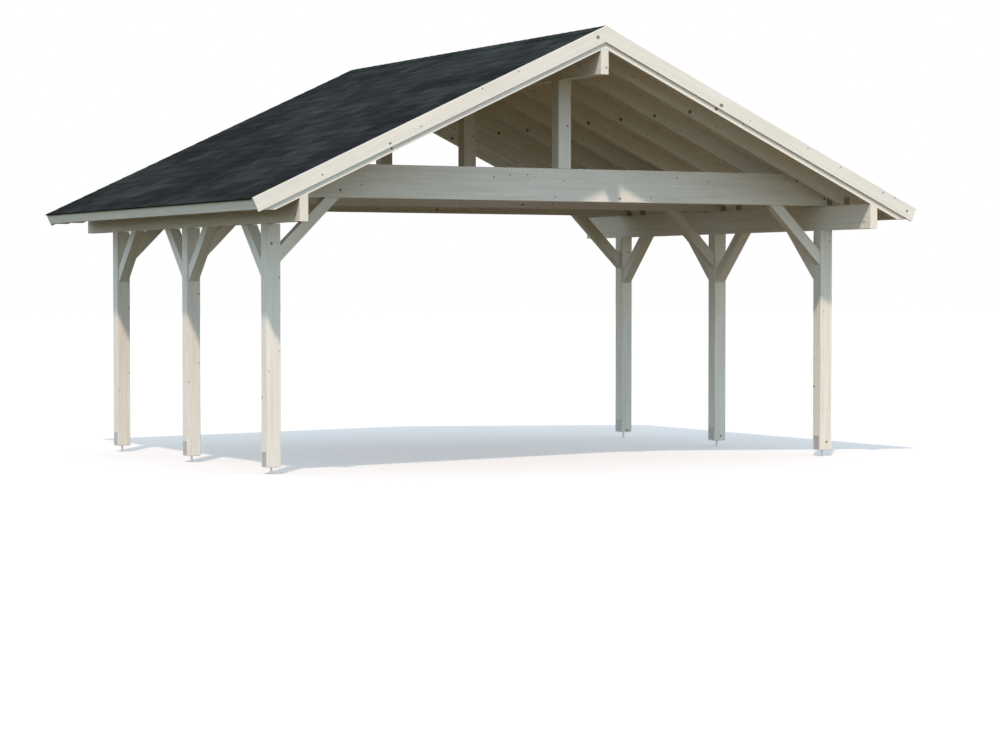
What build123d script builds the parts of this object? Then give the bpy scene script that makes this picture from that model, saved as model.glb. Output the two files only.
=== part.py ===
from build123d import *
import os
from math import cos, radians, sin, tan

# A double carport: three timber frames stand on steel post bases and carry eave beams, tie beams,
# king posts and a ridge beam; knee braces stiffen them, and ten pairs of rafters carry a shingled
# gable roof. Millimetres. X runs across the drive-in front, Y along the ridge towards the back and
# Z up. The origin lies on the ground in the middle of the plan.

# Posts and their steel bases
post_size = 126.0
post_span = 5574.0
frame_spacing = 1854.0
post_top_height = 2110.0
base_clearance = 62.0
base_plate_thickness = 6.0
base_rod_diameter = 20.0
base_side_height = 130.0
base_side_width = 82.0
base_side_thickness = 3.0

# Beams and braces
beam_width = 75.0
beam_height = 225.0
beam_overhang = 776.0
beam_setout = 30.0
tie_width = 110.0
tie_height = 290.0
brace_width = 95.0
brace_depth = 95.0
tie_brace_leg = 551.0
eave_brace_leg = 480.0
edge_chamfer = 3.0

# Roof
roof_pitch = 25.0
rafter_width = 45.0
rafter_depth = 145.0
rafters_per_bay = 3
rafter_seat_depth = 34.0
tail_face_depth = 86.0
deck_thickness = 18.0
shingle_thickness = 12.0
shingle_drip = 20.0
slope_length = 3616.0
barge_thickness = 20.0
barge_depth = 124.0
barge_top_drop = 4.0
fascia_thickness = 20.0
fascia_depth = 93.0
cap_thickness = 4.0
cap_reach = 125.0

# Worked out from the sizes above
frame_rows = {"front": -frame_spacing, "mid": 0.0, "back": frame_spacing}
sides = {"left": -1, "right": 1}
half_span = post_span / 2
beam_line = half_span + beam_setout
outer_face = beam_line + beam_width / 2
beam_top = post_top_height + beam_height
tie_top = beam_top + tie_height
roof_end = frame_spacing + beam_overhang
slope_sin = sin(radians(roof_pitch))
slope_cos = cos(radians(roof_pitch))
slope_tan = tan(radians(roof_pitch))
deck_depth = shingle_thickness + deck_thickness
rafter_foot_depth = deck_depth + rafter_depth
ridge_height = beam_top - rafter_seat_depth + outer_face * slope_tan + rafter_foot_depth / slope_cos
ridge_beam_top = ridge_height - rafter_foot_depth / slope_cos
ridge_beam_bottom = ridge_beam_top - beam_height
tail_length = slope_length - fascia_thickness
rafter_spacing = frame_spacing / rafters_per_bay
inner_rafter_count = 2 * int((roof_end - rafter_width) / rafter_spacing)
cut_overrun = post_size


def roof_point(side, run, depth):
    """Point in X and Z at a run down the slope and a depth square below the shingles' top face."""
    across = run * slope_cos - depth * slope_sin
    return (side * across, ridge_height - run * slope_sin - depth * slope_cos)


def ridge_point(depth):
    """Point on the ridge's upright plane at a depth square below the shingles' top face."""
    return (0, ridge_height - depth / slope_cos)


def face_across(points):
    """Flat face in the XZ plane through a list of (X, Z) corners."""
    return make_face(Plane.XZ * Polyline(*points, close=True))


def extrude_along(face, start, length):
    """Solid from an XZ face, carried from Y = start towards the back."""
    return Pos(0, start + length, 0) * extrude(face, length, dir=(0, -1, 0))


def slope_slab(side, top_depth, bottom_depth, run, start, length):
    """Slab that lies in the roof slope, mitred at the ridge and cut square at its lower end."""
    corners = [ridge_point(top_depth), roof_point(side, run, top_depth)]
    corners += [roof_point(side, run, bottom_depth), ridge_point(bottom_depth)]
    return extrude_along(face_across(corners), start, length)


def chamfered_bar(length, width, height, along):
    """Planed timber bar, centred, with its four long edges broken."""
    if along == "X":
        bar = Box(length, width, height)
        axis = Axis.X
    elif along == "Y":
        bar = Box(width, length, height)
        axis = Axis.Y
    else:
        bar = Box(width, height, length)
        axis = Axis.Z
    return chamfer(bar.edges().filter_by(axis), edge_chamfer)


def post(side, row):
    """Square post from the base plate up to the eave beam."""
    length = post_top_height - base_clearance
    place = Pos(side * half_span, row, base_clearance + length / 2)
    return place * chamfered_bar(length, post_size, post_size, "Z")


def post_base(side, row):
    """U-shaped steel shoe: two side plates, the plate under the post and the threaded rod."""
    outside = post_size + 2 * base_side_thickness
    plate = Box(outside, base_side_width, base_plate_thickness)
    plate = Pos(0, 0, base_clearance - base_plate_thickness / 2) * plate
    rod_length = base_clearance - base_plate_thickness
    shoe = plate + Pos(0, 0, rod_length / 2) * Cylinder(base_rod_diameter / 2, rod_length)
    for sign in sides.values():
        offset = sign * (post_size + base_side_thickness) / 2
        cheek = Box(base_side_thickness, base_side_width, base_side_height)
        shoe += Pos(offset, 0, base_clearance + base_side_height / 2) * cheek
    return Pos(side * half_span, row, 0) * shoe


def eave_beam(side):
    """Beam on a row of posts, set out from their middle line towards the eave."""
    place = Pos(side * beam_line, 0, post_top_height + beam_height / 2)
    return place * chamfered_bar(2 * roof_end, beam_width, beam_height, "Y")


def tie_beam(row):
    """Cross beam on both eave beams, its upper corners cut along the roof slope under the deck."""
    beam = chamfered_bar(2 * outer_face, tie_width, tie_height, "X")
    beam = Pos(0, row, beam_top + tie_height / 2) * beam
    depth = cut_overrun + tie_width
    for side in sides.values():
        top = [ridge_point(deck_depth), roof_point(side, slope_length, deck_depth)]
        above = face_across([*top, (side * slope_length, ridge_height), ridge_point(0)])
        beam -= extrude_along(above, row - depth / 2, depth)
    return beam


def king_post(row):
    """Short post from a tie beam up to the ridge beam."""
    length = ridge_beam_bottom - tie_top
    return Pos(0, row, tie_top + length / 2) * chamfered_bar(length, post_size, post_size, "Z")


def ridge_beam():
    """Beam under the ridge that the rafters are notched over."""
    place = Pos(0, 0, ridge_beam_bottom + beam_height / 2)
    return place * chamfered_bar(2 * roof_end, beam_width, beam_height, "Y")


def brace_profile(leg):
    """Outline of a 45 degree brace in its own plane, from the inner corner of post and beam."""
    inner = leg - brace_depth / cos(radians(45))
    return [(0, -leg), (0, -inner), (inner, 0), (leg, 0)]


def tie_brace(side, row):
    """Brace from a post's inner face up to the tie beam's underside."""
    corner = half_span - post_size / 2
    points = [(side * (corner - u), beam_top + w) for u, w in brace_profile(tie_brace_leg)]
    return extrude_along(face_across(points), row - brace_width / 2, brace_width)


def eave_brace(side, row, direction):
    """Brace from a post's front or back face up to the eave beam's underside."""
    corner = row + direction * post_size / 2
    points = [(corner + direction * u, post_top_height + w) for u, w in brace_profile(eave_brace_leg)]
    outline = make_face(Plane.YZ * Polyline(*points, close=True))
    return Pos(side * half_span - brace_width / 2, 0, 0) * extrude(outline, brace_width, dir=(1, 0, 0))


def rafter_rows():
    """Middle of each rafter along Y: an even row that leaves the frames free, and two edge rafters."""
    edge = roof_end - rafter_width / 2
    first = -rafter_spacing * (inner_rafter_count - 1) / 2
    inner = [first + rafter_spacing * i for i in range(inner_rafter_count)]
    return [-edge, *inner, edge]


def rafter(side, row):
    """Rafter with a mitred head notched over the ridge beam, a birdsmouth and a level tail cut."""
    corners = [ridge_point(deck_depth), roof_point(side, tail_length, deck_depth)]
    corners += [roof_point(side, tail_length, rafter_foot_depth), ridge_point(rafter_foot_depth)]
    bar = extrude_along(face_across(corners), row - rafter_width / 2, rafter_width)
    depth = rafter_width + cut_overrun
    bar -= Pos(0, row, ridge_beam_bottom + beam_height / 2) * Box(beam_width, depth, beam_height)
    seat = Pos(side * beam_line, row, post_top_height + beam_height / 2)
    bar -= seat * Box(beam_width, depth, beam_height)
    level = roof_point(side, tail_length, deck_depth + tail_face_depth)[1]
    below = Box(slope_length, depth, level)
    return bar - Pos(side * slope_length, row, level / 2) * below


def barge_board(side, end):
    """Verge board on the outside of an edge rafter, its top just below the shingles' face."""
    start = roof_end if end > 0 else -roof_end - barge_thickness
    bottom = barge_top_drop + barge_depth
    return slope_slab(side, barge_top_drop, bottom, slope_length, start, barge_thickness)


def fascia(side):
    """Eave board across the rafter tails, square to the slope, under the shingles' drip edge."""
    bottom = shingle_thickness + fascia_depth
    corners = [roof_point(side, run, shingle_thickness) for run in (tail_length, slope_length)]
    corners += [roof_point(side, run, bottom) for run in (slope_length, tail_length)]
    return extrude_along(face_across(corners), -roof_end, 2 * roof_end)


def ridge_cap():
    """Folded strip of shingles over the ridge."""
    upper = [roof_point(side, cap_reach, -cap_thickness) for side in sides.values()]
    lower = [roof_point(side, cap_reach, 0) for side in sides.values()]
    corners = [lower[0], upper[0], ridge_point(-cap_thickness), upper[1], lower[1], ridge_point(0)]
    return extrude_along(face_across(corners), -roof_end, 2 * roof_end)


def carport():
    """All pieces by node name."""
    nodes = {"ridge_beam": ridge_beam(), "ridge_cap": ridge_cap()}
    for row_name, row in frame_rows.items():
        nodes[f"tie_beam_{row_name}"] = tie_beam(row)
        nodes[f"king_post_{row_name}"] = king_post(row)
        braces = [tie_brace(side, row) for side in sides.values()]
        nodes[f"tie_braces_{row_name}"] = Compound(children=braces)
    for side_name, side in sides.items():
        for row_name, row in frame_rows.items():
            nodes[f"post_{row_name}_{side_name}"] = post(side, row)
            nodes[f"post_base_{row_name}_{side_name}"] = post_base(side, row)
        nodes[f"eave_beam_{side_name}"] = eave_beam(side)
        braces = [eave_brace(side, row, 1) for row in (frame_rows["front"], frame_rows["mid"])]
        braces += [eave_brace(side, row, -1) for row in (frame_rows["mid"], frame_rows["back"])]
        nodes[f"eave_braces_{side_name}"] = Compound(children=braces)
        rafters = [rafter(side, row) for row in rafter_rows()]
        nodes[f"rafters_{side_name}"] = Compound(children=rafters)
        deck = slope_slab(side, shingle_thickness, deck_depth, tail_length, -roof_end, 2 * roof_end)
        nodes[f"roof_deck_{side_name}"] = deck
        run = slope_length + shingle_drip
        cover = slope_slab(side, 0, shingle_thickness, run, -roof_end, 2 * roof_end)
        nodes[f"shingles_{side_name}"] = cover
        nodes[f"fascia_{side_name}"] = fascia(side)
        for end_name, end in {"front": -1, "back": 1}.items():
            nodes[f"barge_board_{end_name}_{side_name}"] = barge_board(side, end)
    return nodes


os.makedirs("parts", exist_ok=True)
for name, solid in carport().items():
    export_step(solid, f"parts/{name}.step")
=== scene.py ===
# %% [markdown]
# A double carport: three white-glazed timber frames, a ridge beam and ten pairs of rafters under a
# gable roof of charcoal bitumen shingles. The timbers and steel shoes come from a CAD model and
# keep their exact shapes here. This file gives every surface its finish and adds what is too fine
# for the CAD model: single shingle tabs, roof boards, angle brackets, screws and rod threads.

from math import cos, pi, radians, sin

import bmesh
import bpy
import numpy as np
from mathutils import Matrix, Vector


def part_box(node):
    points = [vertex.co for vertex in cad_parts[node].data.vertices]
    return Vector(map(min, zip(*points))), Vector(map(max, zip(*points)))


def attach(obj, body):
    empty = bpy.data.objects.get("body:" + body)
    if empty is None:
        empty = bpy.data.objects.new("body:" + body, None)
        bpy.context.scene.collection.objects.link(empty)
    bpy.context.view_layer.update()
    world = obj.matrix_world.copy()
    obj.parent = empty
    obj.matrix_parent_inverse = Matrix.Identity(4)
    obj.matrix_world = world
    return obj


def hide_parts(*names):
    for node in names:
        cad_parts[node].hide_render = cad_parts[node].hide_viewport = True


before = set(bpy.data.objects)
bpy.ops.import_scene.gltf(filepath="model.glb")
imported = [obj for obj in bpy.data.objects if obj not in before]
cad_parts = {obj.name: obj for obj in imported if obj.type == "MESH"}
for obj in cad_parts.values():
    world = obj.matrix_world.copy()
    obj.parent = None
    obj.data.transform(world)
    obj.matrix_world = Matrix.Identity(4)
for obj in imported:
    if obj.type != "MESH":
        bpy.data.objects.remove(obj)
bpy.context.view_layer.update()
scene = bpy.context.scene
scene.view_settings.view_transform = "Standard"

# %% [markdown]
# The picture is taken from the front left at eye height, from far away through a long lens, so
# upright lines stay nearly parallel. A camera that tracks a target would be quicker to set up, but
# two plain angles, the turn to the right and the tilt down, are easier to check against a picture.

# %% Set up the camera
camera_turn = radians(27.484)
camera_tilt = radians(1.742)
camera_data = bpy.data.cameras.new("camera")
camera_data.sensor_fit = "HORIZONTAL"
camera_data.sensor_width = 36.0
camera_data.lens = 98.32
camera_data.clip_end = 500.0
camera = bpy.data.objects.new("camera", camera_data)
camera.location = (-11.683, -23.133, 1.5346)
camera.rotation_euler = (pi / 2 - camera_tilt, 0.0, -camera_turn)
scene.collection.objects.link(camera)
scene.camera = camera
print("camera stands at", tuple(camera.location))

# %% [markdown]
# Every finish below is a small network of shader nodes. Nodes can be made one by one with their
# own calls, but that soon fills pages, so one helper makes a node, sets its options and links or
# fills its inputs. The others stand for what is used most: sums, ramps, vectors taken apart and put
# together, blends of two colours, and node groups with named sockets.


# %% Helpers for shader nodes
def add_node(tree, kind, inputs=None, **options):
    """New node of a kind; an input that is given as a socket is linked, any other value is set."""
    made = tree.nodes.new(kind)
    for key, value in options.items():
        setattr(made, key, value)
    for key, value in (inputs or {}).items():
        if isinstance(value, bpy.types.NodeSocket):
            tree.links.new(value, made.inputs[key])
        else:
            made.inputs[key].default_value = value
    return made


def sums(tree, operation, first, second=0.0, clamp=False):
    """Output of a Math node on two sockets or numbers."""
    inputs = {0: first, 1: second}
    return add_node(tree, "ShaderNodeMath", inputs, operation=operation, use_clamp=clamp).outputs[0]


def vector_sums(tree, operation, first, second, output=0):
    """Output of a Vector Math node on two sockets or triples."""
    made = add_node(tree, "ShaderNodeVectorMath", {0: first, 1: second}, operation=operation)
    return made.outputs[output]


def ramp(tree, value, low=0.0, high=1.0, first=0.0, last=1.0):
    """Straight ramp from first, at a low value, to last, at a high one, and level beyond them."""
    limits = {"Value": value, "From Min": low, "From Max": high, "To Min": first, "To Max": last}
    return add_node(tree, "ShaderNodeMapRange", limits).outputs[0]


def split_xyz(tree, vector):
    """The X, Y and Z of a vector, as three sockets."""
    return add_node(tree, "ShaderNodeSeparateXYZ", {0: vector}).outputs


def join_xyz(tree, x=0.0, y=0.0, z=0.0):
    """Vector from three sockets or numbers."""
    return add_node(tree, "ShaderNodeCombineXYZ", {0: x, 1: y, 2: z}).outputs[0]


def blend_colours(tree, share, first, second):
    """Colour that goes from first at share 0 to second at share 1."""
    mix = add_node(tree, "ShaderNodeMix", data_type="RGBA", clamp_factor=True)
    for key, value in {0: share, 6: first, 7: second}.items():
        if isinstance(value, bpy.types.NodeSocket):
            tree.links.new(value, mix.inputs[key])
        else:
            mix.inputs[key].default_value = (*value, 1.0) if key else value
    return mix.outputs[2]


def open_group(name, inputs, outputs):
    """New shader node group with named sockets; gives its tree, its inputs and its output node."""
    tree = bpy.data.node_groups.new(name, "ShaderNodeTree")
    for in_out, sockets in {"INPUT": inputs, "OUTPUT": outputs}.items():
        for title, kind in sockets.items():
            tree.interface.new_socket(title, in_out=in_out, socket_type="NodeSocket" + kind)
    entry = tree.nodes.new("NodeGroupInput")
    return tree, entry.outputs, tree.nodes.new("NodeGroupOutput")


print("node helpers ready")

# %% [markdown]
# The light is a clear day: a warm sun from the front left, high enough to throw the eaves' shadow
# on the posts, and a cool sky that fills the shade. Blender's sky texture could give both at once,
# but a lamp and three plain sky colours are easier to tune. The background is white only to rays
# that come straight from the camera, off a shiny face or through glass. All other rays see the
# sky's own colour, so the white backdrop doesn't flood the timber.

# %% Light the scene
sun_travel = Vector((0.462, 0.630, -1.0))
sun_data = bpy.data.lights.new("sun", "SUN")
sun_data.energy = 3.08
sun_data.color = (1.0, 0.805, 0.675)
sun_data.angle = radians(2.0)
sun = bpy.data.objects.new("sun", sun_data)
sun.rotation_euler = sun_travel.to_track_quat("-Z", "Y").to_euler()
scene.collection.objects.link(sun)


def seen_directly(tree):
    """1 for rays from the camera, off a gloss or through glass, and 0 for scattered light."""
    path = tree.nodes.new("ShaderNodeLightPath").outputs
    shiny = sums(tree, "MAXIMUM", path["Is Glossy Ray"], path["Is Transmission Ray"])
    return sums(tree, "MAXIMUM", path["Is Camera Ray"], shiny)


horizon_colour = (1.00, 1.15, 1.00)
low_sky_colour = (1.13, 1.38, 1.64)
high_sky_colour = (0.74, 0.89, 1.03)
white = (1.0, 1.0, 1.0)
low_sky, high_sky = 0.3, 0.75
world = bpy.data.worlds.new("sky")
world.use_nodes = True
scene.world = world
tree = world.node_tree
tree.nodes.clear()
upward = split_xyz(tree, tree.nodes.new("ShaderNodeTexCoord").outputs["Generated"])[2]
haze = blend_colours(tree, ramp(tree, upward, 0.0, low_sky), horizon_colour, low_sky_colour)
day = blend_colours(tree, ramp(tree, upward, low_sky, high_sky), haze, high_sky_colour)
sky = blend_colours(tree, seen_directly(tree), day, white)
background = add_node(tree, "ShaderNodeBackground", {"Color": sky, "Strength": 1.0})
add_node(tree, "ShaderNodeOutputWorld", {"Surface": background.outputs[0]})
print("sun travels along", tuple(sun_travel))

# %% [markdown]
# The floor is a plain pale sheet that keeps the carport's shadow. To the camera it is nearly white.
# A floor that is white to all rays would be simpler, but it would light the rafters from below. So
# to scattered light it is a dark, warm brown, which gives the roof's underside its own tone.

# %% Lay the floor
floor_reach = 150.0
floor_mesh = bpy.data.meshes.new("floor")
corner_signs = np.array([[-1, -1, 0], [1, -1, 0], [1, 1, 0], [-1, 1, 0]], float)
floor_mesh.from_pydata((corner_signs * floor_reach).tolist(), [], [(0, 1, 2, 3)])
floor = bpy.data.objects.new("floor", floor_mesh)
scene.collection.objects.link(floor)
print("floor reaches", floor_reach, "m each way")

# %% Finish the floor
dark_brown, warm_brown = (0.061, 0.053, 0.029), (0.133, 0.097, 0.053)
brown_start, brown_stop = -3.2, -1.4
floor_finish = bpy.data.materials.new("pale floor")
floor_finish.use_nodes = True
tree = floor_finish.node_tree
tree.nodes.clear()
matt_white = add_node(tree, "ShaderNodeBsdfDiffuse", {"Color": (0.5, 0.5, 0.5, 1.0)})
glow = add_node(tree, "ShaderNodeEmission", {"Color": (0.3, 0.3, 0.3, 1.0)})
pale_sheet = add_node(tree, "ShaderNodeAddShader", {0: matt_white.outputs[0], 1: glow.outputs[0]})
across = split_xyz(tree, tree.nodes.new("ShaderNodeTexCoord").outputs["Object"])[0]
inward = ramp(tree, across, brown_start, brown_stop)
brown = blend_colours(tree, inward, dark_brown, warm_brown)
matt_brown = add_node(tree, "ShaderNodeBsdfDiffuse", {"Color": brown})
choice = {0: seen_directly(tree), 1: matt_brown.outputs[0], 2: pale_sheet.outputs[0]}
either = add_node(tree, "ShaderNodeMixShader", choice)
add_node(tree, "ShaderNodeOutputMaterial", {"Surface": either.outputs[0]})
floor_mesh.materials.append(floor_finish)
print("floor finish has", len(tree.nodes), "nodes")

# %% [markdown]
# All the timber is planed spruce under a thin white glaze: cream-white, with faint long grain,
# slightly warmer and cooler patches, and small dark knots. A scanned picture of wood would repeat
# from post to post. Noise that is stretched along the grain never does, and one node group can
# serve every timber, given a vector whose first axis runs along the grain. The scattered knots come
# first: some cells of a Voronoi pattern get a dark core and a warm halo.

# %% Open the glaze group and scatter knots
glaze, entry, leave = open_group(
    "white_glaze",
    {
        "Grain": "Vector",
        "End": "Float",
        "Knot": "Float",
        "Streaks": "Float",
        "Rosy": "Float",
        "Tone": "Float",
    },
    {"Color": "Color", "Roughness": "Float", "Height": "Float"},
)
grain = entry["Grain"]
knot_density = 11.0
knot_stretch = (0.6, 1.0, 1.0)
knot_chance, knot_reach, smallest_knot = 0.72, 0.085, 0.01
core_edge, halo_edge, halo_spread = 28.0, 5.0, 0.3
stretched = vector_sums(glaze, "MULTIPLY", grain, knot_stretch)
knot_cells = add_node(
    glaze, "ShaderNodeTexVoronoi", {"Vector": stretched, "Scale": knot_density}
).outputs
chance = add_node(glaze, "ShaderNodeSeparateColor", {0: knot_cells["Color"]}).outputs[0]
knot_size = ramp(glaze, chance, knot_chance, 1.0, 0.0, knot_reach)
knot_gap = sums(glaze, "SUBTRACT", knot_size, knot_cells["Distance"])
own_knot = sums(glaze, "MULTIPLY", knot_gap, core_edge, clamp=True)
knot = sums(glaze, "MAXIMUM", own_knot, entry["Knot"])
halo = sums(glaze, "MULTIPLY_ADD", knot_gap, halo_edge, clamp=True)
halo.node.inputs[2].default_value = halo_spread
has_knot = sums(glaze, "GREATER_THAN", knot_size, smallest_knot)
halo = sums(glaze, "MULTIPLY", halo, has_knot)
print("knot cells per metre:", knot_density)

# %% [markdown]
# Planed spruce shows broad streaks, fine fibres, short dark flecks and slow patches of warmer wood.
# Each is a noise of its own length and width, and all but the patches bend round the knots.
# Blender's wave texture could draw the grain too, but its lines are too even for planed timber, so
# it is kept for the rings on the sawn ends.


# %% Draw the grain
def stretched_noise(tree, vector, along, across, detail):
    """Noise whose cells are 1/along long and 1/across wide, in metres."""
    scaled = vector_sums(tree, "MULTIPLY", vector, (along, across, across))
    inputs = {"Vector": scaled, "Scale": 1.0, "Detail": detail}
    return add_node(tree, "ShaderNodeTexNoise", inputs).outputs[0]


grain_bend = 0.02
bend = join_xyz(glaze, y=sums(glaze, "MULTIPLY", halo, grain_bend))
bent = vector_sums(glaze, "ADD", grain, bend)
fibre = stretched_noise(glaze, bent, 9.0, 420.0, 2.0)
streak = ramp(glaze, stretched_noise(glaze, bent, 1.5, 32.0, 5.0), 0.38, 0.72)
streak = sums(glaze, "MULTIPLY", streak, entry["Streaks"])
fleck = ramp(glaze, stretched_noise(glaze, bent, 6.0, 120.0, 2.0), 0.62, 0.74, 0.0, 0.45)
rosy = ramp(glaze, stretched_noise(glaze, grain, 0.9, 9.0, 2.0), 0.46, 0.68)
rings = add_node(
    glaze,
    "ShaderNodeTexWave",
    {"Vector": grain, "Scale": 70.0, "Distortion": 2.0, "Detail": 2.0},
    wave_type="RINGS",
    rings_direction="X",
).outputs[1]
end_rings = sums(glaze, "MULTIPLY", sums(glaze, "MULTIPLY", rings, 0.45), entry["End"])
print("grain noises ready")

# %% [markdown]
# A glaze lets the wood's own colours through. So the colour starts as cream and takes one tint
# after another, each with its share from the grain. One colour ramp could hold all the tints, but
# then a knot could not lie on a streak. The fibres also set the roughness, and with the streaks and
# knots they give the height for a fine bump.

# %% Colour the glaze
cream = (0.805, 0.79, 0.735)
glaze_tints = [
    (streak, (0.70, 0.672, 0.595)),
    (fleck, (0.56, 0.48, 0.38)),
    (sums(glaze, "MULTIPLY", rosy, entry["Rosy"]), (0.78, 0.71, 0.64)),
    (ramp(glaze, fibre, 0.5, 0.8, 0.0, 0.3), (0.62, 0.575, 0.48)),
    (end_rings, (0.60, 0.55, 0.45)),
    (sums(glaze, "MULTIPLY", halo, 0.3), (0.62, 0.54, 0.42)),
    (sums(glaze, "MULTIPLY", knot, 0.86), (0.13, 0.105, 0.07)),
]
colour = cream
for share, tint in glaze_tints:
    colour = blend_colours(glaze, share, colour, tint)
colour = vector_sums(glaze, "MULTIPLY", colour, entry["Tone"])
rough = ramp(glaze, fibre, first=0.62, last=0.82)
height = sums(glaze, "MULTIPLY", fibre, 0.5)
height = sums(glaze, "ADD", sums(glaze, "MULTIPLY", streak, 0.5), height)
height = sums(glaze, "SUBTRACT", height, sums(glaze, "MULTIPLY", knot, 0.4))
for title, socket in {"Color": colour, "Roughness": rough, "Height": height}.items():
    glaze.links.new(socket, leave.inputs[title])
print("white glaze group has", len(glaze.nodes), "nodes")

# %% [markdown]
# A few knots on the real timbers are large enough to know a board by. They could be painted as
# dots on a picture, but a knot is the root of a branch and runs through the wood, so each one is a
# rough rod through the timber and shows on both of its faces. A size is a radius and a strength.

# %% Knots placed one by one
faint, pale, tiny = (0.0065, 0.45), (0.009, 0.5), (0.009, 0.85)
small, middling, large = (0.011, 0.95), (0.014, 1.0), (0.020, 1.0)
wobble_scale, wobble_reach = 90.0, 0.02
knot_edge = 3.0


def knots_at(axis, size, *spots):
    """Knots of one size along one axis, each at a pair of the other two coordinates."""
    return [(axis, spot, size) for spot in spots]


def placed_knots(tree, place, knots):
    """Strongest knot at a place that is shaken by a little noise: strength times the knot's share,
    which is edge (1 - distance from the rod / radius), kept between 0 and 1."""
    inputs = {"Vector": place, "Scale": wobble_scale, "Detail": 2.0}
    wobble = add_node(tree, "ShaderNodeTexNoise", inputs).outputs[1]
    wobble = vector_sums(tree, "SUBTRACT", wobble, (0.5, 0.5, 0.5))
    wobble = vector_sums(tree, "MULTIPLY", wobble, (wobble_reach, wobble_reach, wobble_reach))
    place = vector_sums(tree, "ADD", place, wobble)
    total = 0.0
    for axis, spot, (radius, strength) in knots:
        number = "XYZ".index(axis)
        flat, middle = [1.0, 1.0, 1.0], list(spot)
        flat[number] = 0.0
        middle.insert(number, 0.0)
        flattened = vector_sums(tree, "MULTIPLY", place, flat)
        distance = vector_sums(tree, "DISTANCE", flattened, middle, "Value")
        inside = sums(tree, "SUBTRACT", 1.0, sums(tree, "DIVIDE", distance, radius))
        inside = sums(tree, "MULTIPLY", inside, knot_edge, clamp=True)
        inside = sums(tree, "MULTIPLY", inside, strength)
        total = sums(tree, "MAXIMUM", inside, total)
    return total


print("largest knot has a radius of", large[0], "m")

# %% [markdown]
# A material reads a piece's own place in metres, its Object coordinates. Braces on both sides of
# the frame lean opposite ways, and the posts stand in rows, so their places are folded or shifted
# first. Each brace could have a material of its own instead, but a fold needs one for them all.


# %% Places for the grain and the knots
def principled(name):
    """New material with an empty Principled BSDF; returns the material, its tree and the shader."""
    finish = bpy.data.materials.new(name)
    finish.use_nodes = True
    return finish, finish.node_tree, finish.node_tree.nodes["Principled BSDF"]


def along_object(tree):
    """The piece's own place in metres."""
    return tree.nodes.new("ShaderNodeTexCoord").outputs["Object"]


bay_length = 1.854
side_shift, brace_shift = 0.37, 0.53
left_lift, right_lift = 0.0755, 0.016


def folded_across(tree):
    """Place with X folded over at the middle, so that both sides of the frame match."""
    x, y, z = split_xyz(tree, along_object(tree))
    side = sums(tree, "MULTIPLY", sums(tree, "SIGN", x), side_shift)
    return join_xyz(tree, sums(tree, "ABSOLUTE", x), sums(tree, "ADD", y, side), z)


def folded_along(tree):
    """Distance to the nearest row of posts as X, then X as Y, shifted for each brace, then Z."""
    x, y, z = split_xyz(tree, along_object(tree))
    near = sums(tree, "PINGPONG", y, bay_length / 2)
    bay = sums(tree, "FLOOR", sums(tree, "DIVIDE", y, bay_length / 2))
    return join_xyz(tree, near, sums(tree, "ADD", x, sums(tree, "MULTIPLY", bay, brace_shift)), z)


def lowered_by_row(tree):
    """Place whose height grows along Y, so that the same knots sit lower on every next post."""
    x, y, z = split_xyz(tree, along_object(tree))
    climb = ramp(tree, x, first=left_lift, last=right_lift)
    lift = sums(tree, "MULTIPLY", climb, sums(tree, "ADD", y, bay_length))
    return join_xyz(tree, x, y, sums(tree, "ADD", z, lift))


print("braces are folded every", bay_length / 2, "m")

# %% [markdown]
# Each timber needs the glaze's first axis along its own length, so each direction in the frame gets
# its own material: upright, along the roof, across it, up each slope and along the braces. Turned
# UV maps would do the same, but a Mapping node does it without touching a mesh. Some boards were
# glazed a little lighter or darker, which is their tone. The right-hand middle and back posts and
# the right eave beam get a lighter copy of the glaze, which is painted light in their shade, and
# the faces of rafters that look down are darker, which is painted shade.

# %% Make a timber finish
square_on = 0.8
faint_gloss = 0.02


def facing(tree):
    """The direction that a face looks in."""
    return tree.nodes.new("ShaderNodeTexCoord").outputs["Normal"]


def timber_finish(
    name,
    turn,
    knots=(),
    fold=along_object,
    knot_place=along_object,
    ends=False,
    streaks=1.0,
    rosy=0.5,
    tone=1.0,
    painted_under_shade=None,
):
    """White glaze with its grain turned along a timber's length; ends draws rings on sawn ends, and
    painted_under_shade is the darker tone, painted shade, of faces that look down, where it
    differs."""
    finish, tree, shader = principled(name)
    grain = add_node(tree, "ShaderNodeMapping", {"Vector": fold(tree), "Rotation": turn}).outputs[0]
    looks = {"Grain": grain, "Streaks": streaks, "Rosy": rosy, "Tone": tone}
    if knots:
        looks["Knot"] = placed_knots(tree, knot_place(tree), knots)
    if ends:
        face = add_node(tree, "ShaderNodeMapping", {"Vector": facing(tree), "Rotation": turn})
        length_wise = sums(tree, "ABSOLUTE", split_xyz(tree, face.outputs[0])[0])
        looks["End"] = sums(tree, "GREATER_THAN", length_wise, square_on)
    # Faces that look down get a darker tone: painted shade.
    if painted_under_shade is not None:
        looks_down = sums(tree, "LESS_THAN", split_xyz(tree, facing(tree))[2], -square_on)
        painted_shade_drop = sums(tree, "MULTIPLY", looks_down, tone - painted_under_shade)
        looks["Tone"] = sums(tree, "SUBTRACT", tone, painted_shade_drop)
    coat = add_node(tree, "ShaderNodeGroup", looks, node_tree=glaze).outputs
    relief = {"Strength": 0.35, "Distance": 0.0015, "Height": coat["Height"]}
    bump = add_node(tree, "ShaderNodeBump", relief)
    tree.links.new(coat["Color"], shader.inputs["Base Color"])
    tree.links.new(coat["Roughness"], shader.inputs["Roughness"])
    tree.links.new(bump.outputs[0], shader.inputs["Normal"])
    shader.inputs["Specular IOR Level"].default_value = faint_gloss
    return finish


print("timber finish ready")

# %% [markdown]
# The knots that tell one timber from the next are listed by piece. Noise could scatter them all,
# but then the boards that are seen first would not be known by their marks. Each knot has the axis
# that its rod runs along and the two coordinates across it.

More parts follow.
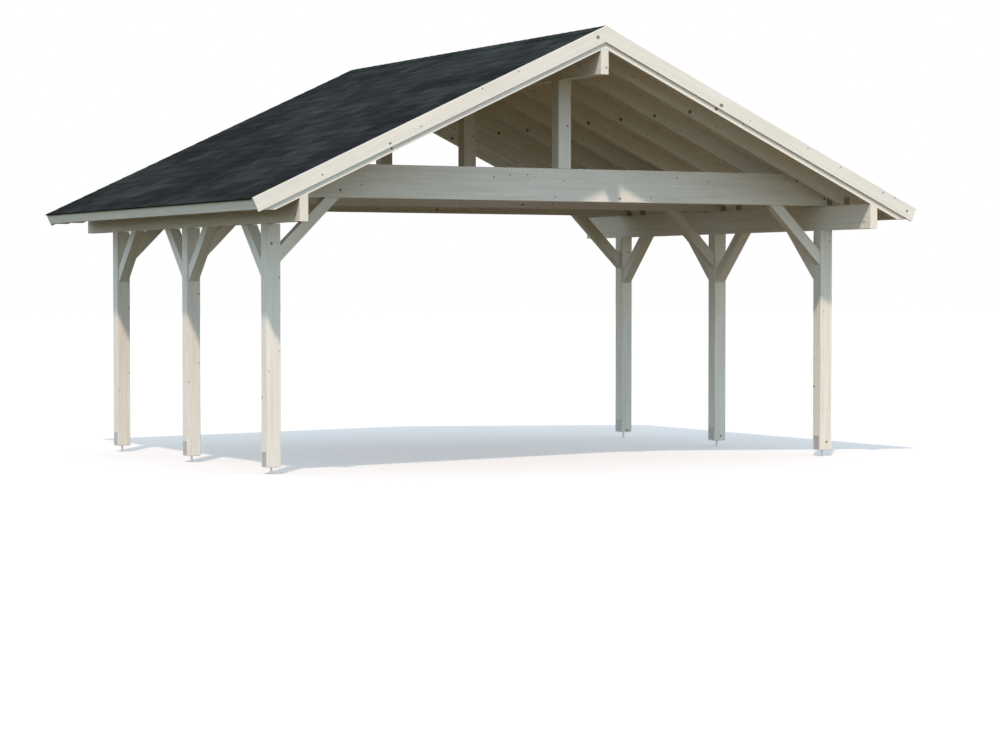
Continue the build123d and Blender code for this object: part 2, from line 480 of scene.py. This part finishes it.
# %% List the knots of each timber
tie_knots = knots_at("Y", middling, (-2.170, 2.40), (0.567, 2.369), (2.460, 2.56), (2.767, 2.40))
tie_knots += knots_at("Y", tiny, (-0.701, 2.539), (-0.543, 2.554), (-0.370, 2.566), (-0.007, 2.517))
tie_knots += knots_at("Y", tiny, (-0.093, 2.374), (0.890, 2.381), (1.165, 2.568), (1.498, 2.539))
tie_knots += knots_at("Y", faint, (-1.667, 2.443), (-0.965, 2.56), (-0.294, 2.547))
tie_knots += knots_at("Y", faint, (0.621, 2.54), (1.088, 2.544), (1.343, 2.556))
left_barge_knots = knots_at("Y", middling, (-2.05, 2.76)) + knots_at("Y", large, (-0.08, 3.72))
left_barge_knots += knots_at("Y", tiny, (-2.661, 2.492), (-1.765, 2.91))
left_barge_knots += knots_at("Y", tiny, (-1.195, 3.245), (-0.85, 3.40))
right_barge_knots = knots_at("Y", large, (1.17, 3.175)) + knots_at("Y", middling, (3.17, 2.275))
right_barge_knots += knots_at("Y", small, (2.905, 2.44))
right_barge_knots += knots_at("Y", tiny, (1.47, 3.05), (2.085, 2.82), (2.435, 2.66), (3.035, 2.39))
post_knots = knots_at("Y", middling, (-2.804, 1.936), (2.794, 0.132))
post_knots += knots_at("Y", tiny, (-2.737, 1.652), (2.817, 2.01))
post_knots += knots_at("Y", pale, (-2.734, 1.03), (-2.834, 0.863), (2.758, 1.352))
post_knots += knots_at("Y", faint, (-2.783, 1.257), (2.757, 0.974), (2.767, 0.442), (2.84, 0.421))
post_knots += knots_at("X", middling, (-1.812, 0.65))
post_knots += knots_at("X", pale, (-1.80, 0.54), (-1.80, 0.396), (-1.814, 0.911))
post_knots += knots_at("X", pale, (0.046, 1.728), (1.89, 1.295), (1.896, 1.987))
king_knots = knots_at("Y", small, (0.027, 3.003))
beam_knots = knots_at("Y", small, (0.018, 3.466))
beam_knots += knots_at("X", middling, (-2.53, 2.17), (-2.25, 3.505))
left_beam_knots = knots_at("X", tiny, (-0.317, 2.257), (-0.301, 2.142), (2.421, 2.189))
left_beam_knots += beam_knots
left_rafter_knots = knots_at("Y", middling, (-2.028, 2.719))
right_rafter_knots = knots_at("Y", large, (1.13, 3.145))
right_rafter_knots += knots_at("Y", tiny, (1.412, 3.02), (0.535, 3.437))
print("knots on a tie beam:", len(tie_knots), "and on the posts:", len(post_knots))

# %% [markdown]
# Now every kind of timber gets its finish. All of them share the glaze group, so a change there
# reaches the whole frame. One material for all timbers would be shorter still, but a board's grain
# has to follow its length, and some boards are calmer, rosier or lighter than others.

# %% Make every timber's finish
pitch = radians(25.0)
upright, lengthwise, crosswise = (0.0, pi / 2, 0.0), (0.0, 0.0, -pi / 2), (0.0, 0.0, 0.0)
up_left, down_right = (0.0, pitch, 0.0), (0.0, -pitch, 0.0)
tie_brace_turn, eave_brace_turn = (0.0, 0.75 * pi, 0.0), (0.0, 0.25 * pi, 0.0)
post_look = {"knots": post_knots, "knot_place": lowered_by_row}
# The rafters' faces that look down are darkened as painted shade.
rafter_look = {"streaks": 0.6, "rosy": 0.3, "painted_under_shade": 0.82}
barge_look = {"streaks": 0.6, "rosy": 0.15}
finishes = {
    "post": timber_finish("white glaze upright", upright, **post_look),
    # The right-hand middle and back posts get a lighter copy of the glaze: painted light in their
    # shade.
    "painted_light_post": timber_finish("white glaze upright with painted light", upright, tone=1.09, **post_look),
    "king_post": timber_finish(
        "white glaze king post", upright, king_knots, streaks=0.45, rosy=0.05, tone=0.9
    ),
    "eave_beam": timber_finish("white glaze lengthwise", lengthwise, left_beam_knots, ends=True),
    # The right eave beam gets a lighter copy of the glaze: painted light on its shaded faces.
    "painted_light_beam": timber_finish(
        "white glaze lengthwise with painted light", lengthwise, beam_knots, ends=True, tone=1.05
    ),
    "tie_beam": timber_finish(
        "white glaze crosswise", crosswise, tie_knots, ends=True, rosy=0.1, tone=0.94
    ),
    "tie_braces": timber_finish("white glaze tie brace", tie_brace_turn, fold=folded_across),
    "eave_braces": timber_finish("white glaze eave brace", eave_brace_turn, fold=folded_along),
    "rafters_left": timber_finish(
        "white glaze left rafter", up_left, left_rafter_knots, **rafter_look
    ),
    "rafters_right": timber_finish(
        "white glaze right rafter", down_right, right_rafter_knots, **rafter_look
    ),
    "barge_left": timber_finish(
        "white glaze left barge", up_left, left_barge_knots, tone=0.935, **barge_look
    ),
    "barge_right": timber_finish(
        "white glaze right barge", down_right, right_barge_knots, tone=0.945, **barge_look
    ),
}
print("timber finishes:", len(finishes))

# %% [markdown]
# Galvanised steel is dull grey with a faint crystal pattern, the spangle of the zinc. It could be
# one flat grey, but it would look like paint, so the tone and roughness change a little from one
# crystal to the next. The shoes are plain zinc, with the plate and rod below the post painted light
# grey, which is painted light in the post's shadow. The brackets are a darker, browner zinc with
# less metal, and the rod threads are pale zinc, partly their own colour and partly painted light.

# %% Galvanised steel
spangle_scale = 140.0
foot_top = 0.0622


def zinc_finish(name, dark, light, metal, painted_light_below_post=None):
    """Spangled zinc between two tones, with a share of metal; painted_light_below_post is a pale
    colour given to all that lies below the post, as painted light in its shadow."""
    finish, tree, shader = principled(name)
    spangle = {"Vector": along_object(tree), "Scale": spangle_scale}
    cells = add_node(tree, "ShaderNodeTexVoronoi", spangle).outputs["Color"]
    crystal = add_node(tree, "ShaderNodeSeparateColor", {0: cells}).outputs[0]
    zinc = blend_colours(tree, crystal, dark, light)
    # Below foot_top, the plate and rod turn pale: painted light in the post's shadow.
    if painted_light_below_post:
        height = split_xyz(tree, along_object(tree))[2]
        zinc = blend_colours(tree, sums(tree, "LESS_THAN", height, foot_top), zinc, painted_light_below_post)
    tree.links.new(zinc, shader.inputs["Base Color"])
    tree.links.new(ramp(tree, crystal, first=0.38, last=0.52), shader.inputs["Roughness"])
    shader.inputs["Metallic"].default_value = metal
    return finish


galvanised = zinc_finish(
    "galvanised steel", (0.36, 0.365, 0.37), (0.44, 0.445, 0.45), 0.6, painted_light_below_post=(0.8, 0.8, 0.8)
)
dull_zinc = zinc_finish(
    "dull galvanised steel", (0.324, 0.303, 0.266), (0.41, 0.387, 0.345), 0.25
)
# The rod threads: pale zinc with little metal, made lighter still as painted light in the post's
# shadow.
painted_light_zinc = zinc_finish(
    "pale galvanised steel with painted light", (0.76, 0.765, 0.77), (0.86, 0.865, 0.87), 0.1
)
print("zinc finishes:", galvanised.name, dull_zinc.name, painted_light_zinc.name)

# %% [markdown]
# The CAD pieces keep their meshes, and only the material in their slot changes. Each piece could be
# named here with its finish, but a piece's name already says which timber it is, so the finish is
# looked up by the start of the name. The first start that fits counts.

# %% Dress the CAD pieces
finish_by_start = {
    "post_base": galvanised,
    # Painted light: the right-hand middle and back posts take the lighter copy of the glaze.
    "post_mid_right": finishes["painted_light_post"],
    "post_back_right": finishes["painted_light_post"],
    "post_": finishes["post"],
    "king_post": finishes["king_post"],
    # Painted light: the right eave beam takes the lighter copy of the glaze.
    "eave_beam_right": finishes["painted_light_beam"],
    "eave_beam": finishes["eave_beam"],
    "ridge_beam": finishes["eave_beam"],
    "fascia": finishes["eave_beam"],
    "tie_beam": finishes["tie_beam"],
    "tie_braces": finishes["tie_braces"],
    "eave_braces": finishes["eave_braces"],
    "rafters_left": finishes["rafters_left"],
    "rafters_right": finishes["rafters_right"],
    "barge_board_front_left": finishes["barge_left"],
    "barge_board_back_left": finishes["barge_left"],
    "barge_board": finishes["barge_right"],
}
dressed = 0
for name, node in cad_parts.items():
    start = next((key for key in finish_by_start if name.startswith(key)), None)
    if start:
        node.data.materials.clear()
        node.data.materials.append(finish_by_start[start])
        dressed += 1
print("CAD pieces dressed:", dressed)

# %% [markdown]
# The roof's new pieces are worked out in the slope's own measures: the run down the slope from the
# ridge and the depth square below the shingles' face. They could be made flat and turned into
# place, but a finished piece has to lie unturned at the origin, so one function turns run and depth
# straight into X, Y and Z. A second one joins rings of points into closed tubes, which is all that
# tabs, boards and plates are.

# %% Helpers for new pieces
roof_low, roof_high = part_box("shingles_left")
roof_end = roof_high.y
ridge_height = roof_high.z
shingle_depth = 0.012
shingle_run = (ridge_height - roof_low.z - shingle_depth * cos(pitch)) / sin(pitch)
sides = {"left": -1, "right": 1}


def on_slope(side, run, depth, along):
    """X = side (run cos pitch - depth sin pitch), Y = along and
    Z = ridge height - run sin pitch - depth cos pitch."""
    run, depth, along = np.broadcast_arrays(run, depth, along)
    across = side * (run * cos(pitch) - depth * sin(pitch))
    height = ridge_height - run * sin(pitch) - depth * cos(pitch)
    return np.stack([across, along, height], axis=-1)


def add_piece(name, points, quads, finish, tone=None):
    """Mesh from points and quads, with its faces turned outwards, that rides on the carport."""
    mesh = bpy.data.meshes.new(name)
    mesh.vertices.add(len(points))
    mesh.vertices.foreach_set("co", np.ascontiguousarray(points, np.float32).ravel())
    mesh.loops.add(quads.size)
    mesh.loops.foreach_set("vertex_index", np.ascontiguousarray(quads, np.int32).ravel())
    mesh.polygons.add(len(quads))
    mesh.polygons.foreach_set("loop_start", np.arange(0, quads.size, 4, dtype=np.int32))
    mesh.update(calc_edges=True)
    if tone is not None:
        own_tone = mesh.attributes.new("tone", "FLOAT", "POINT")
        own_tone.data.foreach_set("value", tone.astype(np.float32))
    shape = bmesh.new()
    shape.from_mesh(mesh)
    bmesh.ops.recalc_face_normals(shape, faces=shape.faces)
    shape.to_mesh(mesh)
    shape.free()
    mesh.polygons.foreach_set("use_smooth", np.zeros(len(mesh.polygons), bool))
    mesh.materials.append(finish)
    piece = bpy.data.objects.new(name, mesh)
    scene.collection.objects.link(piece)
    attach(piece, "root")
    print(name, "has", len(mesh.polygons), "faces")
    return piece


def tube_quads(count, rings, ring_points):
    """Quads of closed tubes: neighbours along and around a ring, and a ladder over each end."""
    index = np.arange(count * rings * ring_points).reshape(count, rings, ring_points)
    after = np.roll(index, -1, axis=2)
    walls = np.stack([index[:, :-1], after[:, :-1], after[:, 1:], index[:, 1:]], axis=-1)
    step = np.arange(ring_points // 2 - 1)
    rungs = np.stack([step, step + 1, ring_points - 2 - step, ring_points - 1 - step], axis=-1)
    caps = np.concatenate([index[:, 0][:, rungs], index[:, -1][:, rungs[:, ::-1]]])
    return np.concatenate([walls.reshape(-1, 4), caps.reshape(-1, 4)])


def add_tubes(name, rings, finish, tone=None):
    """Closed tubes from rings[tube, ring, point, XYZ], with one tone for each tube."""
    count, ring_count, ring_points, _ = rings.shape
    spread = None if tone is None else np.repeat(tone, ring_count * ring_points)
    quads = tube_quads(count, ring_count, ring_points)
    return add_piece(name, rings.reshape(-1, 3), quads, finish, spread)


print("shingles run", round(shingle_run, 3), "m down the slope")

# %% [markdown]
# Bitumen shingles have a coat of stone chips. The chips are a fine Voronoi pattern, which colours
# the coat a little and roughens it. A flat grey would do from far away, but close up a real roof is
# patchy charcoal, so each tab brings its own tone as an attribute, and a soft cloud of weathering
# and a slightly paler ridge lie over them all.

# %% Shingle finish
shingle, tree, shader = principled("charcoal shingle")
dark_coat, light_coat = (0.0068, 0.0092, 0.0107), (0.0312, 0.0392, 0.0417)
chip_colour, chip_density = (0.024, 0.028, 0.031), 420.0
tone_share, cloud_share, chip_share = 0.55, 0.4, 0.2
cloud_stretch, cloud_density = (1.8, 1.0, 1.8), 2.6
pale_from, pale_to, paleness = 3.2, 3.8, 0.06
place = along_object(tree)
tone = add_node(tree, "ShaderNodeAttribute", attribute_name="tone").outputs["Fac"]
chips = add_node(tree, "ShaderNodeTexVoronoi", {"Vector": place, "Scale": chip_density}).outputs
chip = add_node(tree, "ShaderNodeSeparateColor", {0: chips["Color"]}).outputs[0]
long_way = vector_sums(tree, "MULTIPLY", place, cloud_stretch)
clouds = {"Vector": long_way, "Scale": cloud_density, "Detail": 4.0}
cloud = ramp(tree, add_node(tree, "ShaderNodeTexNoise", clouds).outputs[0], 0.46, 0.70)
weather = sums(tree, "MULTIPLY", cloud, cloud_share)
weather = sums(tree, "ADD", sums(tree, "MULTIPLY", tone, tone_share), weather)
near_ridge = ramp(tree, split_xyz(tree, place)[2], pale_from, pale_to, 0.0, paleness)
weather = sums(tree, "ADD", weather, near_ridge)
charcoal = blend_colours(tree, weather, dark_coat, light_coat)
charcoal = blend_colours(tree, sums(tree, "MULTIPLY", chip, chip_share), charcoal, chip_colour)
relief = {"Strength": 0.5, "Distance": 0.001, "Height": chips["Distance"]}
chip_bump = add_node(tree, "ShaderNodeBump", relief)
tree.links.new(charcoal, shader.inputs["Base Color"])
tree.links.new(chip_bump.outputs[0], shader.inputs["Normal"])
shader.inputs["Roughness"].default_value = 0.92
shader.inputs["Specular IOR Level"].default_value = faint_gloss
print("shingle finish has", len(tree.nodes), "nodes")

# %% [markdown]
# Shingles come as strips of three tabs. Every course leaves 145 mm in view, and its joints fall on
# the middle of the tabs below. A bump texture could draw the courses, but then the roof's edge
# would be a straight line, so each tab is a thin wedge of its own. Its tone mixes a draw for its
# strip, a draw for itself and a soft random field, so that light and dark patches on the roof are
# made of whole tabs.

# %% Shingle tabs
exposure = 0.145
tab_width = 1.0 / 3.0
tab_slot = 0.008
tab_lap = 0.03
tab_columns = 18
strip_tabs, strip_columns = 3, 8
narrowest_tab = 0.03
edge_jitter = 0.002
lowest_lift, highest_lift = -0.0006, 0.0002
tab_steps = np.array([0.0030, 0.0, 0.0005, 0.0017, 0.0022, 0.0076])
nose_steps = np.array([0.0, -0.004, -0.0008, 0.0, -0.003, 0.0])
ridge_gap = 0.006
sheet_top, sheet_inset = 0.0078, 0.004
patch_courses = 3.0
patch_length = 0.9
patch_share, strip_share, chance_share = 0.50, 0.15, 0.35
darkest_mix, mix_range = 0.40, 0.38


def soft_field(draw, rows, columns):
    """Smooth random field: values are drawn at whole numbers of rows and columns, and a place
    between them blends its four neighbours with the weight t t (3 - 2 t)."""
    grid = draw.random((int(rows.max()) + 2, int(columns.max()) + 2))
    row, column = np.floor(rows).astype(int), np.floor(columns).astype(int)
    down, along = ((3 - 2 * t) * t * t for t in (rows - row, columns - column))
    above = grid[row, column] * (1 - along) + grid[row, column + 1] * along
    below = grid[row + 1, column] * (1 - along) + grid[row + 1, column + 1] * along
    return above * (1 - down) + below * down


def shingle_tabs(side, seed):
    """Wedges in rows: point p of a tab lies at its course's lower edge plus the nose step, or at
    the upper edge, at the depth step p; both ends along Y are clipped to the roof."""
    draw = np.random.default_rng(seed)
    courses = int(np.ceil(shingle_run / exposure))
    course, number = np.meshgrid(np.arange(courses), np.arange(tab_columns), indexing="ij")
    start = -roof_end + (number - 0.5 * (course % 2)) * tab_width
    left = np.clip(start + tab_slot / 2, -roof_end, roof_end)
    right = np.clip(start + tab_width - tab_slot / 2, -roof_end, roof_end)
    left = np.where(start <= -roof_end, -roof_end, left)
    strip_tones = draw.random((courses, strip_columns))
    strip = strip_tones[course, (number + course % 3) // strip_tabs]
    columns = (start + roof_end + tab_width) / patch_length
    patch = soft_field(draw, course / patch_courses, columns)
    chance = draw.random(course.shape)
    tone = patch_share * patch + strip_share * strip + chance_share * chance
    tone = np.clip((tone - darkest_mix) / mix_range, 0, 1)
    jitter = draw.uniform(-edge_jitter, edge_jitter, course.shape)
    lower = shingle_run - course * exposure + jitter
    lift = draw.uniform(lowest_lift, highest_lift, course.shape)
    keep = (right - left) > narrowest_tab
    left, right, lower, lift, tone = (values[keep] for values in (left, right, lower, lift, tone))
    lower = np.minimum(lower, shingle_run)
    upper = np.maximum(lower - exposure - tab_lap, ridge_gap)
    run = lower[:, None] + nose_steps
    run[:, [0, 5]] = upper[:, None]
    depth = tab_steps + lift[:, None]
    ends = np.stack([left, right], axis=1)
    return on_slope(side, run[:, None, :], depth[:, None, :], ends[:, :, None]), tone


def under_sheet(side):
    """Flat sheet below the tabs, seen at the bottom of their slots: one ring at each end along Y,
    with two corners doubled, so that it has as many points as a tab."""
    low_edge = shingle_run - sheet_inset
    run = np.array([ridge_gap, low_edge, low_edge, low_edge, ridge_gap, ridge_gap])
    depth = np.repeat([sheet_top, shingle_depth], 3)
    ends = np.array([-roof_end, roof_end])
    return on_slope(side, run[None, None, :], depth[None, None, :], ends[None, :, None])


for side_name, seed in {"left": 11, "right": 23}.items():
    tabs, tones = shingle_tabs(sides[side_name], seed)
    rings = np.concatenate([tabs, under_sheet(sides[side_name])])
    tones = np.append(tones, 0.0)
    roof = add_tubes(f"shingle_tabs_{side_name}", rings, shingle, tones)
    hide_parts(f"shingles_{side_name}")

# %% [markdown]
# The ridge is closed by short strips that are folded over it and lap each other like the tabs do.
# One long folded sheet would be quicker, but its laps would not show. Each strip is a profile
# across the ridge, rounded at the fold, carried along the ridge, with its front end a little higher
# than its back end.

# %% Ridge cap strips
cap_reach = 0.125
cap_lap = 0.05
cap_sheet = 0.0032
cap_count = 36
fold_round, fold_half = 0.0035, 0.12
cap_depths = np.array([-0.0044, -0.0008])
cap_length = 2 * roof_end / cap_count
cap_share = np.linspace(-1.0, 1.0, 13)
cap_start = -roof_end + np.arange(cap_count) * cap_length
cap_stop = np.minimum(cap_start + cap_length + cap_lap, roof_end)
cap_ends = np.stack([cap_start, cap_stop], axis=1)
fold_drop = fold_round * np.clip(1 - np.abs(cap_share) / fold_half, 0, 1) ** 2
top_depth = cap_depths[:, None] + fold_drop
cap_depth = np.concatenate([top_depth, top_depth[:, ::-1] + cap_sheet], axis=1)
cap_loop = np.concatenate([cap_share, cap_share[::-1]])
cap_runs = cap_reach * np.abs(cap_loop)
cap_points = on_slope(np.sign(cap_loop), cap_runs, cap_depth[None], cap_ends[:, :, None])
cap_tone = np.random.default_rng(5).random(cap_count)
ridge_strips = add_tubes("ridge_cap_strips", cap_points, shingle, cap_tone)
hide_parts("ridge_cap")

# %% [markdown]
# The shingles lie on tongued and grooved boards that run the length of the roof. From below, every
# joint shows as a small V between two planed edges. Lines in a material could stand for the joints,
# but real grooves also catch the light, so one board is a six-sided profile carried from end to
# end, and each row is cut into two boards over a rafter.

# %% Finish of the roof boards
deck_finish, tree, shader = principled("white glaze roof board")
board_jump, board_shade = 40.0, 0.2
x, y, z = split_xyz(tree, along_object(tree))
tone = add_node(tree, "ShaderNodeAttribute", attribute_name="tone").outputs["Fac"]
own_stretch = sums(tree, "ADD", y, sums(tree, "MULTIPLY", tone, board_jump))
looks = {"Grain": join_xyz(tree, own_stretch, x, z), "Streaks": 1.0, "Rosy": 0.5, "Tone": 1.0}
coat = add_node(tree, "ShaderNodeGroup", looks, node_tree=glaze).outputs
shade = sums(tree, "MULTIPLY", tone, board_shade)
board_colour = blend_colours(tree, shade, coat["Color"], (0.66, 0.60, 0.50))
tree.links.new(board_colour, shader.inputs["Base Color"])
tree.links.new(coat["Roughness"], shader.inputs["Roughness"])
shader.inputs["Specular IOR Level"].default_value = faint_gloss
print("roof board finish has", len(tree.nodes), "nodes")

# %% Roof boards
board_cover = 0.121
board_vee = 0.0045
board_gap = 0.0006
deck_start = 0.014
deck_run = 3.596
deck_top, deck_bottom = 0.012, 0.030
rafter_spacing = bay_length / 3
inner_rafters = rafter_spacing * (np.arange(8) - 3.5)


def roof_boards(side, seed):
    """Six-sided boards in rows down the slope: flat on top, bevelled at both lower edges."""
    draw = np.random.default_rng(seed)
    count = int(np.ceil(deck_run / board_cover))
    high = np.maximum(np.arange(count) * board_cover, deck_start)
    low = np.minimum((np.arange(count) + 1) * board_cover, deck_run)
    run = np.stack([high, high, high + board_vee, low - board_vee, low, low], axis=1)
    depth = np.array([deck_top, deck_bottom - board_vee, deck_bottom])
    depth = np.concatenate([depth, depth[::-1]])
    joint = draw.choice(inner_rafters[1:-1], count)
    first = np.stack([np.full(count, -roof_end), joint - board_gap], axis=1)
    second = np.stack([joint + board_gap, np.full(count, roof_end)], axis=1)
    ends = np.concatenate([first, second])
    run = np.concatenate([run, run])
    return on_slope(side, run[:, None, :], depth, ends[:, :, None]), draw.random(2 * count)


for side_name, seed in {"left": 31, "right": 37}.items():
    boards, tones = roof_boards(sides[side_name], seed)
    deck = add_tubes(f"roof_boards_{side_name}", boards, deck_finish, tones)
    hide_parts(f"roof_deck_{side_name}")

# %% [markdown]
# Screw heads and threads are turned parts: rings of points round an axis. Blender's cylinders would
# need a bevel and a place each, so one function makes any number of them at once: at every height
# along the axis it draws a ring of a given radius.


# %% Helper for turned parts
def turned(centres, axes, heights, radii, count):
    """Point p of ring r = centre + axis height[r] + radius[r, p] (u cos t + v sin t), where u and v
    lie square to the axis and t = 2 pi p / count."""
    centres, axes = np.asarray(centres, float), np.asarray(axes, float)
    axes = axes / np.linalg.norm(axes, axis=1, keepdims=True)
    helper = np.where(np.abs(axes[:, 2:]) > 0.9, [[1.0, 0.0, 0.0]], [[0.0, 0.0, 1.0]])
    u = np.cross(axes, helper)
    u /= np.linalg.norm(u, axis=1, keepdims=True)
    v = np.cross(axes, u)
    angle = 2 * pi * np.arange(count) / count
    spoke = u[:, None, :] * np.cos(angle)[:, None] + v[:, None, :] * np.sin(angle)[:, None]
    heights = np.asarray(heights)
    reach = np.asarray(radii, float).reshape(len(heights), -1)
    reach = np.broadcast_to(reach, (len(heights), count))
    along = centres[:, None, None, :] + axes[:, None, None, :] * heights[None, :, None, None]
    return along + spoke[:, None, :, :] * reach[None, :, :, None]


screw_heights = [-0.002, 0.0006, 0.0016]
screw_radii = [[0.0045], [0.0045], [0.0026]]
screw_sides = 8
print("one screw head has", screw_sides * 2 + screw_sides - 2, "faces")

# %% [markdown]
# A steel angle bracket ties every inner rafter and tie beam to the eave beams. Two thin boxes could
# stand for it, but a real one is a bent strip: its section is an L with a round bend, carried
# across its width, and a pressed rib stiffens the bend. The rib is a small hump in the same
# surface, highest in the middle of the strip and at the bend.

# %% Section of an angle bracket
bracket_width = 0.060
bracket_leg = 0.075
bracket_sheet = 0.0025
bend_radius = 0.004
rib_height, rib_width, rib_length = 0.004, 0.006, 0.03
turn = np.linspace(0.0, pi / 2, 4)
foot_steps = [0.02, 0.04, bracket_leg]
leg_steps = [bracket_leg, 0.05, 0.03, 0.015]
inner_out = np.concatenate([np.zeros(4), bend_radius * (1 - np.cos(turn)), foot_steps])
inner_up = np.concatenate([leg_steps, bend_radius * (1 - np.sin(turn)), np.zeros(3)])
out_turn = np.concatenate([np.ones(4), np.cos(turn), np.zeros(3)])
up_turn = np.concatenate([np.zeros(4), np.sin(turn), np.ones(3)])
across = np.linspace(-0.5, 0.5, 9) * bracket_width
from_bend = np.abs(inner_out - inner_up)
rib_across = np.exp(-((across / rib_width) ** 2))[:, None]
rib = rib_height * rib_across * np.exp(-((from_bend / rib_length) ** 4))


def two_faced(inner, direction):
    """Section loop: the inner face with its rib, then the outer face, a sheet further out."""
    outer = inner + (rib + bracket_sheet) * direction
    return np.concatenate([inner + rib * direction, outer[:, ::-1]], axis=1)


section_out, section_up = two_faced(inner_out, out_turn), two_faced(inner_up, up_turn)
print("a bracket's section has", section_out.shape[1], "points")

# %% Angle brackets
beam_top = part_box("eave_beam_left")[1].z
beam_middle = (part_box("eave_beam_right")[0].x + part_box("eave_beam_right")[1].x) / 2
tie_half = (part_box("tie_beam_mid")[1].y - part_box("tie_beam_mid")[0].y) / 2
rafter_half = 0.0225
bracket_shift = 0.0075
frame_rows = [-bay_length, 0.0, bay_length]
both = (-1, 1)
face_rows = [(row - rafter_half, -1) for row in inner_rafters]
face_rows += [(row + way * tie_half, way) for row in frame_rows for way in both]
bracket_line = beam_middle + bracket_shift
spots = [(side * bracket_line, face, way) for side in both for face, way in face_rows]
spot_x, spot_y, spot_way = (np.array(values)[:, None, None] for values in zip(*spots))
bracket_x = spot_x + across[:, None]
bracket_y = spot_y + spot_way * section_out
bracket_z = beam_top + section_up + 0 * spot_x
bracket_points = np.stack(np.broadcast_arrays(bracket_x, bracket_y, bracket_z), axis=-1)
add_tubes("angle_brackets", bracket_points, dull_zinc)

# %% [markdown]
# Six screws hold each leg of a bracket. They could be dots in the zinc's material, but a head that
# stands proud catches the light, so they are turned parts on both faces of the bend.

# %% Bracket screws
screw_across = np.array([-0.019, 0.019])
screw_up = np.array([0.028, 0.046, 0.064])
grids = np.meshgrid(screw_across, screw_up)
leg_spots = list(zip(*(grid.ravel() for grid in grids)))
leg_places = [
    (x + dx, y + way * bracket_sheet, beam_top + dz) for x, y, way in spots for dx, dz in leg_spots
]
foot_places = [
    (x + dx, y + way * dz, beam_top + bracket_sheet) for x, y, way in spots for dx, dz in leg_spots
]
leg_axes = [(0, way, 0) for _, _, way in spots for _ in leg_spots]
foot_axes = [(0, 0, 1)] * len(foot_places)
bracket_screws = turned(
    leg_places + foot_places, leg_axes + foot_axes, screw_heights, screw_radii, screw_sides
)
add_tubes("bracket_screws", bracket_screws, dull_zinc)

# %% [markdown]
# Each cheek of a shoe is screwed to its post in four places, and the shoe stands on a threaded rod.
# A Screw modifier could wind the thread, but its ends are hard to close. Here the thread is a
# sleeve round the rod whose radius swings with the angle and the height together, which draws a
# helix.

# %% Shoe screws
post_line = 2.787
cheek_low, cheek_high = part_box("post_base_front_left")
cheek_out = (cheek_high.x - cheek_low.x) / 2
shoe_middles = [(side * post_line, row) for side in both for row in frame_rows]
shoe_spots = [(-0.026, 0.085), (0.026, 0.105), (-0.026, 0.145), (0.026, 0.165)]
cheeks = [(x, y, way) for x, y in shoe_middles for way in both]
shoe_places = [
    (x + way * cheek_out, y + dy, height) for x, y, way in cheeks for dy, height in shoe_spots
]
shoe_axes = [(way, 0, 0) for _, _, way in cheeks for _ in shoe_spots]
shoe_screws = turned(shoe_places, shoe_axes, screw_heights, screw_radii, screw_sides)
add_tubes("shoe_screws", shoe_screws, galvanised)

# %% Rod threads
thread_pitch = 0.0025
thread_radius, thread_depth = 0.0099, 0.0005
thread_sides = 16
rod_length, rod_margin = 0.056, 0.0005
thread_heights = np.linspace(rod_margin, rod_length - rod_margin, 100)
thread_angle = 2 * pi * np.arange(thread_sides) / thread_sides
thread_swing = np.cos(2 * pi * thread_heights[:, None] / thread_pitch - thread_angle)
thread_radii = thread_radius + thread_depth * thread_swing
rod_places = [(x, y, 0.0) for x, y in shoe_middles]
rod_axes = [(0, 0, 1)] * len(rod_places)
threads = turned(rod_places, rod_axes, thread_heights, thread_radii, thread_sides)
# Pale zinc on the threads, partly painted light in the post's shadow.
add_tubes("rod_threads", threads, painted_light_zinc)

# %% [markdown]
# Barge boards and fascias are held by screws: seven pairs into each edge rafter, and two at every
# rafter tail. They could be left out of a small picture, but they show close up. Their heads sit
# nearly flush, under the same glaze as the boards.

# %% Board screws
barge_thickness, fascia_thickness = 0.020, 0.020
edge_rafter = 2.6075
flush_heights = [-0.002, 0.0002, 0.0005]
barge_face = roof_end + barge_thickness
gables = [(side, end) for side in both for end in both]
barge_grid = np.meshgrid(np.linspace(0.2, 3.45, 7), [0.042, 0.095])
screw_runs, screw_depths = (grid.ravel() for grid in barge_grid)
places = [on_slope(side, screw_runs, screw_depths, end * barge_face) for side, end in gables]
axes = [np.tile([0.0, end, 0.0], (len(screw_runs), 1)) for _, end in gables]
tail_rows = np.append(inner_rafters, [-edge_rafter, edge_rafter])
tail_row, tail_depth = (grid.ravel() for grid in np.meshgrid(tail_rows, [0.040, 0.080]))
fascia_run = deck_run + fascia_thickness
places += [on_slope(side, fascia_run, tail_depth, tail_row) for side in both]
axes += [np.tile([side * cos(pitch), 0.0, -sin(pitch)], (len(tail_row), 1)) for side in both]
board_screws = turned(
    np.concatenate(places), np.concatenate(axes), flush_heights, screw_radii, screw_sides
)
add_tubes("board_screws", board_screws, finishes["king_post"])
